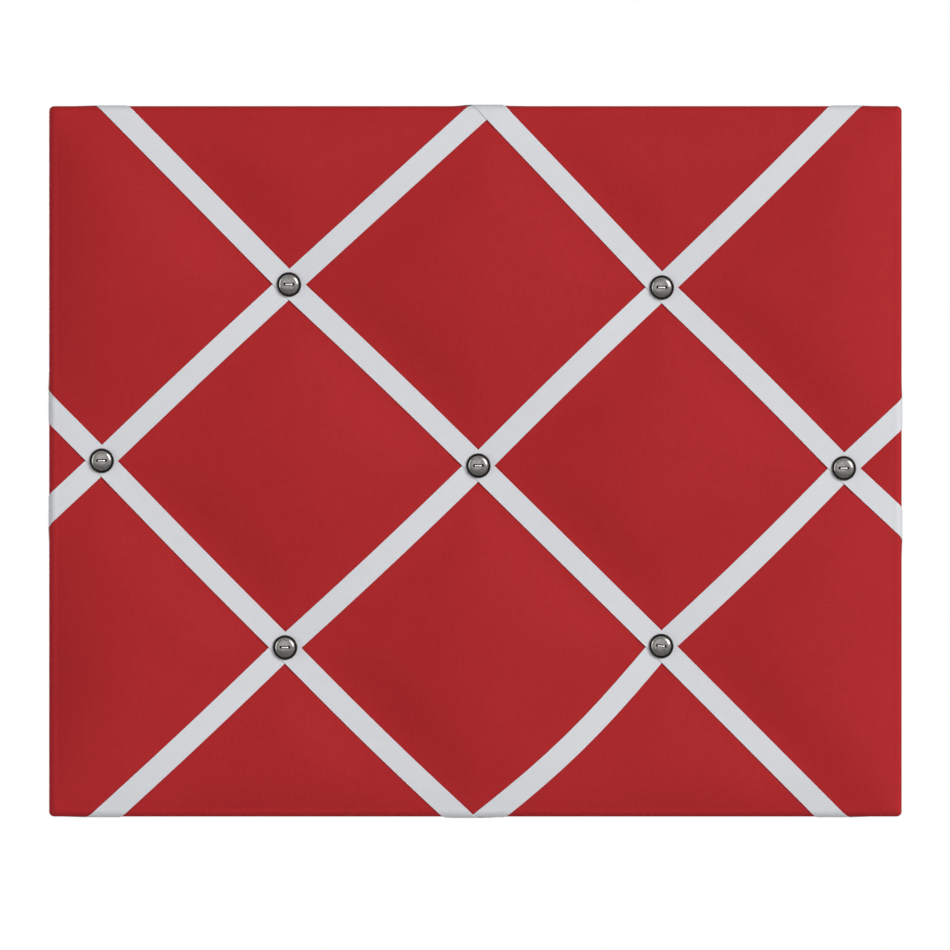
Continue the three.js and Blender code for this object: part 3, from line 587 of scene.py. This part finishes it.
# The cloth or the pad under it: a front of puffs, drawn round the rim by the given runs
def cushion_mesh(under, runs):
    bm = grid_mesh(axis_places(FOLD[0]), axis_places(FOLD[1]))
    flat = bm.loops.layers.uv.new("flat")
    x = np.array([vert.co.x for vert in bm.verts])
    z = np.array([vert.co.z for vert in bm.verts])
    for vert, depth in zip(bm.verts, under + bed(x, z) - puff(x, z)):
        vert.co.y = depth
    for face in bm.faces:
        for loop in face.loops:
            loop[flat].uv = loop.vert.co.xz
    origins = {vert: vert.co.copy() for vert in bm.verts if vert.is_boundary}
    edge = [link for link in bm.edges if link.is_boundary]
    for pair in zip([0.0] + runs, runs):
        edge, origins = grow_edge(bm, flat, edge, origins, pair, under)
    return bm, edge


def on_back(place):
    return place.y > BACK_EDGE - SAME_DEPTH


# How far a place lies inside the outline, from the nearer upright edge and the nearer level one
def insets(place):
    return OUTLINE[0] - abs(place.x), OUTLINE[1] - abs(place.z)


def on_mitre(place, inwards):
    from_upright, from_level = insets(place)
    return on_back(place) and abs(from_upright - from_level) < SAME_INSET and from_upright > inwards


# Parts the cloth along the mitre of each corner on the back
def part_mitres(bm):
    mitres = [edge for edge in bm.edges if all(on_mitre(vert.co, MITRE_START) for vert in edge.verts)]
    bmesh.ops.split_edges(bm, edges=mitres)
    for vert in bm.verts:
        if not vert.link_faces or not on_mitre(vert.co, MITRE_OPENS):
            continue
        middles = [face.calc_center_median() for face in vert.link_faces]
        from_upright, from_level = insets(sum(middles, Vector()) / len(middles))
        if from_upright < from_level:
            vert.co.z -= math.copysign(MITRE_GAP, vert.co.z)
        else:
            vert.co.x -= math.copysign(MITRE_GAP, vert.co.x)


# How far a hand-cut edge strays at a place
def waver(place):
    slow = 0.0004 * math.sin(place.x * 310)
    quick = 0.0003 * math.sin(place.z * 470 + place.x * 150)
    return slow + quick


# Lets the cut edges on the back waver, apart from their corners
def cut_by_hand(bm):
    for vert in bm.verts:
        if not on_back(vert.co):
            continue
        past_upright, past_level = (inset - TURN_IN for inset in insets(vert.co))
        if abs(past_upright) < CUT_BAND < past_level:
            vert.co.x += waver(vert.co)
        elif abs(past_level) < CUT_BAND < past_upright:
            vert.co.z += waver(vert.co)


def add_thickness(piece, thickness, offset):
    thick = piece.modifiers.new("thickness", "SOLIDIFY")
    thick.thickness = thickness
    thick.offset = offset


def make_cover():
    bm = cushion_mesh(0.0, edge_runs(TURN_IN, steps=8))[0]
    cut_by_hand(bm)
    part_mitres(bm)
    piece = new_piece("cloth_cover", bm)
    add_thickness(piece, CLOTH, offset=-1.0)
    finish_piece(piece, ["fabric_cover"], RED_COTTON)


def make_pad():
    runs = [ARC * k / PAD_RIM_STEPS for k in range(1, PAD_RIM_STEPS + 1)]
    bm, edge = cushion_mesh(PAD_UNDER, runs + [ARC + (SIDE + PAD_BACK)])
    bmesh.ops.edgeloop_fill(bm, edges=edge)
    bmesh.ops.recalc_face_normals(bm, faces=bm.faces)
    piece = new_piece("wadding_pad", bm, smooth_angle=50)
    finish_piece(piece, ["padding"], WADDING)


# Ribbons: a course runs on a spare length past its last crossings, and its heading at a place is taken
# from a little before it to a little past it
class RibbonCourse:
    spare = 0.08
    heading_reach = 0.006

    def __init__(self, name):
        self.falling = name.startswith("falling")
        points = list(COURSES[name])
        points.insert(0, points[0] + (points[0] - points[1]).normalized() * self.spare)
        points.append(points[-1] + (points[-1] - points[-2]).normalized() * self.spare)
        self.points = points
        self.stops = [0.0]
        for a, b in zip(points, points[1:]):
            self.stops.append(self.stops[-1] + (b - a).length)

    def middle(self, along):
        for k in range(len(self.points) - 1):
            if along <= self.stops[k + 1] or k == len(self.points) - 2:
                share = (along - self.stops[k]) / (self.stops[k + 1] - self.stops[k])
                return self.points[k].lerp(self.points[k + 1], share)

    def place(self, along, across):
        ahead = self.middle(along + self.heading_reach) - self.middle(along - self.heading_reach)
        ahead.normalize()
        return self.middle(along) + Vector((-ahead.y, ahead.x)) * across * RIBBON_HALF

    def lift(self, spot):
        lift = RIBBON_OVER_CLOTH
        if self.falling:
            away = min((spot - crossing(name)).length for name in STACKED)
            lift += RIBBON_OVER_RIBBON * pressed(away, STACK_START, STACK_REACH)
        return lift


# Places across a ribbon's half widths, closest together at its woven edges
ACROSS = [-1.0, -0.975, -0.75, -0.5, -0.25, 0.0, 0.25, 0.5, 0.75, 0.975, 1.0]
MIDDLE = len(ACROSS) // 2


def past_fold(spot, axis, sign):
    return sign * spot[axis] - FOLD[axis]


# Where a ribbon's side line reaches the fold, searched from the middle of the board outwards
def fold_place(course, across, axis, sign, inside, outside):
    for _ in range(40):
        half = (inside + outside) / 2
        if past_fold(course.place(half, across), axis, sign) < 0:
            inside = half
        else:
            outside = half
    return (inside + outside) / 2


# The edge over which a ribbon leaves the front, as its axis and the sign of its side
def exit_edge(course, inside, outside):
    steps = 400
    for k in range(1, steps):
        spot = course.middle(inside + (outside - inside) * k / steps)
        for axis in (0, 1):
            if abs(spot[axis]) > FOLD[axis]:
                return axis, math.copysign(1.0, spot[axis])


# How far a ribbon slides along its edge as it goes over the rim. It bites into the padding there, so
# it goes over on a tighter curve, and has made up for that by the back edge.
def slide(run):
    bite = 0.3
    if run <= ARC:
        return (1 - bite) * run + bite * RIM * math.sin(run / RIM)
    if run <= ARC + SIDE:
        return run - bite * (ARC - RIM) * (1 - (run - ARC) / SIDE)
    return run


# Where each side line of a ribbon reaches the fold, and the rows of its end from there to the tail
def folded_end(course, inside, outside):
    axis, sign = exit_edge(course, inside, outside)
    other = 1 - axis
    folds = [fold_place(course, across, axis, sign, inside, outside) for across in ACROSS]
    step = math.copysign(SLANT_STEP, outside - inside)
    corner = OUTLINE[other] - CORNER_GAP
    rows = []
    for run in edge_runs(RIBBON_TAIL, steps=5):
        slid = []
        for across, fold in zip(ACROSS, folds):
            here = course.place(fold, across)
            there = course.place(fold + step, across)
            outwards = past_fold(there, axis, sign) - past_fold(here, axis, sign)
            slant = (there[other] - here[other]) / outwards
            slid.append(here[other] + slide(run) * slant)
        off_corner = max(0.0, max(slid) - corner) + min(0.0, min(slid) + corner)
        row = []
        for along in slid:
            unfolded = across_edge(axis, sign * (FOLD[axis] + run), along)
            past, depth = over_edge(run, course.lift(Vector(unfolded)))
            x, z = across_edge(axis, sign * (OUTLINE[axis] + past), along - off_corner)
            row.append(Vector((x, depth, z)))
        rows.append(row)
    return folds, rows


# Rows of places across a ribbon, from one tail over the front to the other
def ribbon_rows(course):
    middle = course.stops[-1] / 2
    first_folds, first_rows = folded_end(course, middle, 0.0)
    last_folds, last_rows = folded_end(course, middle, course.stops[-1])
    count = round((last_folds[MIDDLE] - first_folds[MIDDLE]) / RIBBON_STEP)
    rows = list(reversed(first_rows))
    for k in range(count + 1):
        row = []
        for across, first, last in zip(ACROSS, first_folds, last_folds):
            spot = course.place(first + (last - first) * k / count, across)
            depth = float(bed(spot.x, spot.y)) - course.lift(spot)
            row.append(Vector((spot.x, depth, spot.y)))
        rows.append(row)
    return rows + last_rows


def make_ribbon(name):
    rows = ribbon_rows(RibbonCourse(name))
    lengths = [0.0]
    for before, after in zip(rows, rows[1:]):
        lengths.append(lengths[-1] + (after[MIDDLE] - before[MIDDLE]).length)
    bm = bmesh.new()
    bmesh.ops.create_grid(bm, x_segments=len(ACROSS) - 1, y_segments=len(rows) - 1, size=1.0)
    flat = bm.loops.layers.uv.new("flat")
    for face in bm.faces:
        for loop in face.loops:
            column, row = grid_cell(loop.vert.co, len(ACROSS), len(rows))
            loop[flat].uv = (ACROSS[column] * RIBBON_HALF, lengths[row])
    for vert in bm.verts:
        column, row = grid_cell(vert.co, len(ACROSS), len(rows))
        vert.co = rows[row][column]
    bm.normal_update()
    central = min(bm.faces, key=lambda face: face.calc_center_median().xz.length)
    if central.normal.y > 0:
        bmesh.ops.reverse_faces(bm, faces=bm.faces)
    piece = new_piece("tape_" + name, bm)
    add_thickness(piece, RIBBON_THICK, offset=1.0)
    finish_piece(piece, ["ribbon_" + name], WHITE_RIBBON)


# Turned pieces: an outline of (radius, depth) spun round the Y axis
def turned(outline, steps):
    bm = bmesh.new()
    verts = [bm.verts.new((radius, depth, 0.0)) for radius, depth in outline]
    edges = [bm.edges.new(pair) for pair in zip(verts, verts[1:])]
    bmesh.ops.spin(
        bm, geom=verts + edges, axis=(0, 1, 0), cent=(0, 0, 0), angle=2 * math.pi, steps=steps,
        use_merge=True,
    )
    bmesh.ops.remove_doubles(bm, verts=bm.verts, dist=1e-6)
    bmesh.ops.recalc_face_normals(bm, faces=bm.faces)
    return bm


# Extra places along an outline, so that a small recess can be pressed into the turned face
def closer(outline, step):
    places = [outline[0]]
    for (r0, y0), (r1, y1) in zip(outline, outline[1:]):
        count = max(1, math.ceil(math.hypot(r1 - r0, y1 - y0) / step))
        places += [(r0 + (r1 - r0) * k / count, y0 + (y1 - y0) * k / count) for k in range(1, count + 1)]
    return places


def stadium(x, z, half_length, radius):
    return math.hypot(max(0.0, abs(x) - half_length), z) - radius


# An arc of a turned outline that carries on from a place, between two tilts of the surface in degrees
def turned_arc(start, radius, tilt_from, tilt_to, steps):
    first = math.radians(tilt_from)
    places = []
    for k in range(1, steps + 1):
        tilt = math.radians(tilt_from + (tilt_to - tilt_from) * k / steps)
        out = radius * (math.sin(tilt) - math.sin(first))
        places.append((start[0] + out, start[1] + radius * (math.cos(first) - math.cos(tilt))))
    return places


# Buttons: each may be turned a little in its place, in degrees. An arc of the dome has its radius and the
# tilt, in degrees, at which it ends. The rim is given as radius and height over the seat.
BUTTON_TURNS = {"bottom_right": -7.0, "left": 2.0, "top_right": -2.0}
DOME_RADIUS, DOME_TILT = 0.01924, 12
BEND_RADIUS, BEND_TILT = 0.0033, 45
FOOT_RADIUS, FOOT_TILT = 0.0003, 88
BUTTON_GROOVE = [(0.00578, 0.0005), (0.00586, 0.0004), (0.0062, 0.0004), (0.00632, 0.0005)]
BUTTON_LIP = [
    (0.0064, 0.00074), (0.00654, 0.0009), (0.00672, 0.00092), (0.00688, 0.0008),
    (0.00697, 0.0006), (0.007, 0.0003), (0.00694, 0.00008), (0.0068, 0.0),
]
BUTTON_BACK = [(0.0055, 0.0), (0.005, 0.0008), (0.0, 0.0008)]
BUTTON_SEAT = 0.0002

# Patina and painted shade on the rim: where the darkening starts, how far over the seat, and the radius of
# the groove, where it is most. The groove holds patina; the lip outside it is darkened by half as painted
# shade.
RIM_FROM = 0.0055
RIM_OVER_SEAT = 0.0002
GROOVE_RADIUS = 0.00612

# The slot in a button's face and the two holes in it: how far out they reach, how far up they stand, how
# deep they go, the radius of their ends, and the part of the face that holds them
SLOT_OUT, SLOT_UP, SLOT_DEPTH = 0.0022, 0.00016, 0.0004
HOLE_OUT, HOLE_UP, HOLE_DEPTH = 0.00235, 0.0001, 0.0012
EYE_RADIUS = 0.00066
EYE_REACH = 0.0046
EYE_FALL = 0.0011


def turn_of(name):
    return Matrix.Rotation(math.radians(-BUTTON_TURNS.get(name, 0.0)), 4, "Y")


# From the middle of a button's face over the dome, the groove and the lip to its back
def button_outline(face, seat):
    dome = [(0.0, face)]
    dome += turned_arc(dome[-1], DOME_RADIUS, 0, DOME_TILT, steps=6)
    bend = turned_arc(dome[-1], BEND_RADIUS, DOME_TILT, BEND_TILT, steps=9)
    bend += turned_arc(bend[-1], FOOT_RADIUS, BEND_TILT, FOOT_TILT, steps=4)
    rim = [(radius, seat - height) for radius, height in BUTTON_GROOVE + BUTTON_LIP + BUTTON_BACK]
    return closer(dome, step=0.00014) + bend + rim


# Presses the slot and holes into a button's face, and marks how dark they and the rim are: patina in the
# slot, the holes and the groove, painted shade on the lip
def press_eye(bm, face, seat):
    patina_and_shade = bm.verts.layers.float.new("patina_and_shade")
    for vert in bm.verts:
        x, z = vert.co.x, vert.co.z
        radius = math.hypot(x, z)
        dark = 0.0
        # Painted shade: the rim, lip included, is darkened by half; the groove is darkened fully by its
        # patina.
        if radius > RIM_FROM and vert.co.y < seat - RIM_OVER_SEAT:
            dark = 0.5 + 0.5 * pressed(abs(radius - GROOVE_RADIUS), margin=0.0006, edge=0.0003)
        if radius < EYE_REACH and vert.co.y < face + EYE_FALL:
            slot = stadium(x, z - SLOT_UP, SLOT_OUT, EYE_RADIUS)
            hole = math.hypot(abs(x) - HOLE_OUT, z - HOLE_UP) - EYE_RADIUS
            sunk = pressed(slot, margin=0.00012, edge=0.0003)
            through = pressed(hole, margin=0.00008, edge=0.0002)
            vert.co.y += SLOT_DEPTH * sunk + HOLE_DEPTH * through
            dark = max(0.4 * sunk, through)
        vert[patina_and_shade] = dark


def make_button(name):
    low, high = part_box("button_" + name)
    centre = (low + high) / 2
    face, seat = low.y, high.y + BUTTON_SEAT
    bm = turned(button_outline(face, seat), steps=96)
    press_eye(bm, face, seat)
    bmesh.ops.transform(bm, matrix=turn_of(name), verts=bm.verts)
    bmesh.ops.translate(bm, vec=(centre.x, 0.0, centre.z), verts=bm.verts)
    piece = new_piece("cap_" + name, bm, smooth_angle=60)
    finish_piece(piece, ["button_" + name], NICKEL)


# Round wire along a path of points
def wire_piece(name, points, radius, closed, body, fineness):
    curve = bpy.data.curves.new(name, "CURVE")
    curve.dimensions = "3D"
    curve.bevel_depth = radius
    curve.bevel_resolution = fineness
    curve.use_fill_caps = not closed
    spline = curve.splines.new("POLY")
    spline.points.add(len(points) - 1)
    for point, place in zip(spline.points, points):
        point.co = (*place, 1.0)
    spline.use_cyclic_u = closed
    holder = bpy.data.objects.new(name + "_path", curve)
    bpy.context.scene.collection.objects.link(holder)
    drawn = holder.evaluated_get(bpy.context.evaluated_depsgraph_get())
    swept = bpy.data.meshes.new_from_object(drawn)
    bm = bmesh.new()
    bm.from_mesh(swept)
    bmesh.ops.remove_doubles(bm, verts=bm.verts, dist=1e-7)
    bmesh.ops.recalc_face_normals(bm, faces=bm.faces)
    bpy.data.objects.remove(holder)
    bpy.data.meshes.remove(swept)
    bpy.data.curves.remove(curve)
    return new_piece(name, bm, body, smooth_angle=50)


# The path with each of its corners rounded
def rounded(points, radius, steps=6):
    places = [points[0]]
    for before, corner, after in zip(points, points[1:], points[2:]):
        into = (before - corner).normalized()
        out = (after - corner).normalized()
        for k in range(steps + 1):
            t = k / steps
            a = corner + into * radius * (1 - t)
            b = corner + out * radius * t
            places.append(a.lerp(b, t))
    return places + [points[-1]]


# Wires: their radius, how far out the legs stand, the bend at each corner, and what the tips stop short
WIRE_RADIUS = 0.0005
WIRE_LEG = 0.0018
WIRE_BEND = 0.0009
WIRE_SHORT = 0.0002


def make_wire(name):
    low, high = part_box("button_wire_" + name)
    centre = (low + high) / 2
    front, rear = low.y + WIRE_RADIUS, high.y - WIRE_RADIUS
    tip = high.x - centre.x - WIRE_SHORT
    half = [(WIRE_LEG, front), (WIRE_LEG, rear), (tip, rear)]
    corners = [(-x, y) for x, y in reversed(half)] + half
    turn = turn_of(name)
    middle = Vector((centre.x, 0.0, centre.z))
    path = rounded([middle + turn @ Vector((x, y, 0.0)) for x, y in corners], WIRE_BEND)
    piece = wire_piece("loop_wire_" + name, path, WIRE_RADIUS, closed=False, body="board", fineness=4)
    finish_piece(piece, ["button_wire_" + name], WIRE_METAL)


# How far the edges of staples and straps are eased
STAPLE_EASE = 0.00014
STRAP_EASE = 0.0002


# A copy of a pressed metal piece with its edges eased
def eased_copy(name, node_name, width):
    node = frame["nodes"][node_name]
    bm = bmesh.new()
    bm.from_mesh(node.data)
    bmesh.ops.transform(bm, matrix=node.matrix_world, verts=bm.verts)
    bmesh.ops.remove_doubles(bm, verts=bm.verts, dist=2e-6)
    bmesh.ops.dissolve_limit(
        bm, angle_limit=math.radians(2), use_dissolve_boundaries=False, verts=bm.verts, edges=bm.edges
    )
    bmesh.ops.recalc_face_normals(bm, faces=bm.faces)
    bend = math.radians(40)
    sharp = [edge for edge in bm.edges if edge.is_manifold and edge.calc_face_angle() > bend]
    bmesh.ops.bevel(
        bm, geom=sharp, offset=width, offset_type="OFFSET", segments=3, profile=0.5, affect="EDGES",
        clamp_overlap=True, material=-1,
    )
    piece = new_piece(name, bm, smooth_angle=40)
    flats = piece.modifiers.new("flat_faces", "WEIGHTED_NORMAL")
    flats.keep_sharp = True
    finish_piece(piece, [node_name], ZINC)


# D-rings: the wire's radius, half the width, the corners' radius and the height, along the wire's middle
RING_RADIUS = 0.001
RING_HALF = 0.010
RING_CORNER = 0.0025
RING_RISE = 0.014


# Places on an arc of a D-ring's middle line, between two quarter turns. Its two radii may differ.
def ring_arc(x, radius, rise, first, last, steps):
    angles = [math.pi / 2 * (first + (last - first) * k / steps) for k in range(steps + 1)]
    return [(x + radius * math.cos(angle), RING_CORNER + rise * math.sin(angle)) for angle in angles]


def make_ring(side):
    hinge = next(joint for joint in frame["joints"] if joint["child"] == "ring_" + side)
    pivot = Vector(hinge["pos_m"])
    straight = RING_HALF - RING_CORNER
    loop = ring_arc(straight, RING_CORNER, RING_CORNER, -1, 0, steps=12)
    loop += ring_arc(0.0, RING_HALF, RING_RISE - RING_CORNER, 0, 2, steps=48)[1:-1]
    loop += ring_arc(-straight, RING_CORNER, RING_CORNER, 2, 3, steps=12)
    path = [pivot + Vector((x, 0.0, z)) for x, z in loop]
    piece = wire_piece("d_ring_" + side, path, RING_RADIUS, closed=True, body="ring_" + side, fineness=6)
    finish_piece(piece, ["hanger_ring_" + side], ZINC)


# Screws: the crown and the edge of the pan head as radius and depth under its top, the point as radius
# and height over the tip, and the cross pressed into the crown
SCREW_CROWN = [(0.0, 0.0), (0.0008, 0.00003), (0.0016, 0.00014), (0.0022, 0.00032)]
SCREW_EDGE = [
    (0.0027, 0.0006), (0.003, 0.00095), (0.00315, 0.0014),
    (0.0032, 0.0018), (0.00316, 0.0021), (0.003, 0.0022),
]
SCREW_SHANK = 0.0015
SCREW_POINT = [(SCREW_SHANK, 0.003), (0.0012, 0.0022), (0.0005, 0.0), (0.0, 0.0)]
CROSS_HALF, CROSS_RADIUS, CROSS_DEPTH = 0.0016, 0.0003, 0.0011
CROSS_REACH = 0.0026
CROSS_OVER_SEAT = 0.0003


def make_screw(side):
    low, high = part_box("hanger_screw_" + side)
    centre = (low + high) / 2
    seat = high.y - SCREW_EDGE[-1][1]
    crown = [(radius, high.y - depth) for radius, depth in SCREW_CROWN]
    edge = [(radius, high.y - depth) for radius, depth in SCREW_EDGE]
    point = [(radius, low.y + height) for radius, height in SCREW_POINT]
    bm = turned(closer(crown, step=0.00013) + edge + [(SCREW_SHANK, seat)] + point, steps=80)
    for vert in bm.verts:
        x, z = vert.co.x, vert.co.z
        if vert.co.y < seat + CROSS_OVER_SEAT or math.hypot(x, z) > CROSS_REACH:
            continue
        arm = min(stadium(x, z, CROSS_HALF, CROSS_RADIUS), stadium(z, x, CROSS_HALF, CROSS_RADIUS))
        vert.co.y -= CROSS_DEPTH * pressed(arm, margin=0.0001, edge=0.00025)
    bmesh.ops.translate(bm, vec=(centre.x, 0.0, centre.z), verts=bm.verts)
    piece = new_piece("pan_screw_" + side, bm, smooth_angle=50)
    finish_piece(piece, ["hanger_screw_" + side], ZINC)


make_cover()
make_pad()
for ribbon in ROUTES:
    make_ribbon(ribbon)
for button in BUTTON_NAMES:
    make_button(button)
    make_wire(button)
for node_name in sorted(frame["nodes"]):
    if node_name.startswith("staple_"):
        eased_copy("crown_" + node_name, node_name, STAPLE_EASE)
for side in ("left", "right"):
    eased_copy("folded_strap_" + side, "hanger_strap_" + side, STRAP_EASE)
    make_ring(side)
    make_screw(side)

board = frame["nodes"]["backing_board"]
board.data.materials.clear()
board.data.materials.append(HARDBOARD)


# Stage: a pale floor, a white surrounding and soft lamps
def make_floor():
    half, place = 2.4, (0.0, -1.5, -0.75)
    bm = bmesh.new()
    bmesh.ops.create_grid(bm, x_segments=1, y_segments=1, size=half)
    bmesh.ops.translate(bm, vec=place, verts=bm.verts)
    mesh = bpy.data.meshes.new("studio_floor")
    bm.to_mesh(mesh)
    bm.free()
    floor = bpy.data.objects.new("studio_floor", mesh)
    bpy.context.scene.collection.objects.link(floor)
    material, _, shader = start_material("studio_floor")
    shader.inputs["Base Color"].default_value = (0.8, 0.8, 0.8, 1.0)
    shader.inputs["Roughness"].default_value = 0.9
    mesh.materials.append(material)


# The surrounding is seen as white, and lights the object only a little
def make_world(ambient):
    world = bpy.data.worlds.new("studio_world")
    world.use_nodes = True
    tree = world.node_tree
    tree.nodes.clear()
    rays = add_node(tree, "LightPath").outputs
    seen = add_math(tree, "MAXIMUM", rays["Is Camera Ray"], rays["Is Glossy Ray"])
    seen = add_math(tree, "MAXIMUM", seen, rays["Is Transmission Ray"])
    mix = add_node(tree, "MixShader")
    tree.links.new(seen, mix.inputs["Fac"])
    for number, strength in ((1, ambient), (2, 1.0)):
        white = add_node(tree, "Background")
        white.inputs["Color"].default_value = (1.0, 1.0, 1.0, 1.0)
        white.inputs["Strength"].default_value = strength
        tree.links.new(white.outputs["Background"], mix.inputs[number])
    output = add_node(tree, "OutputWorld")
    tree.links.new(mix.outputs["Shader"], output.inputs["Surface"])
    bpy.context.scene.world = world


# A soft lamp that faces the middle of the object
def make_lamp(name, place, size, power):
    lamp = bpy.data.lights.new(name, "AREA")
    lamp.shape = "RECTANGLE"
    lamp.size, lamp.size_y = size
    lamp.energy = power
    holder = bpy.data.objects.new(name, lamp)
    bpy.context.scene.collection.objects.link(holder)
    facing = (-Vector(place)).to_track_quat("-Z", "Y").to_matrix().to_4x4()
    holder.matrix_world = Matrix.Translation(place) @ facing
    holder.visible_camera = False


make_floor()
make_world(ambient=0.06)
make_lamp("key_lamp", place=(3.7, -3.7, 2.25), size=(3.4, 3.4), power=266.0)
make_lamp("front_fill", place=(-0.6, -5.4, 0.5), size=(3.2, 3.2), power=28.0)
make_lamp("left_strip", place=(-2.4, -0.9, 0.45), size=(0.5, 2.2), power=17.0)
make_lamp("back_fill", place=(-2.2, 4.2, 0.3), size=(2.0, 1.6), power=95.0)

camera = bpy.data.cameras.new("front_camera")
camera.sensor_width = 36.0
camera.lens = 400.0
camera.clip_start = 0.05
camera.clip_end = 50.0
viewer = bpy.data.objects.new("front_camera", camera)
bpy.context.scene.collection.objects.link(viewer)
viewer.location = (-0.0002, -5.95, -0.0077)
viewer.rotation_euler = (math.radians(90), 0.0, 0.0)
bpy.context.scene.camera = viewer
bpy.context.scene.view_settings.view_transform = "Standard"
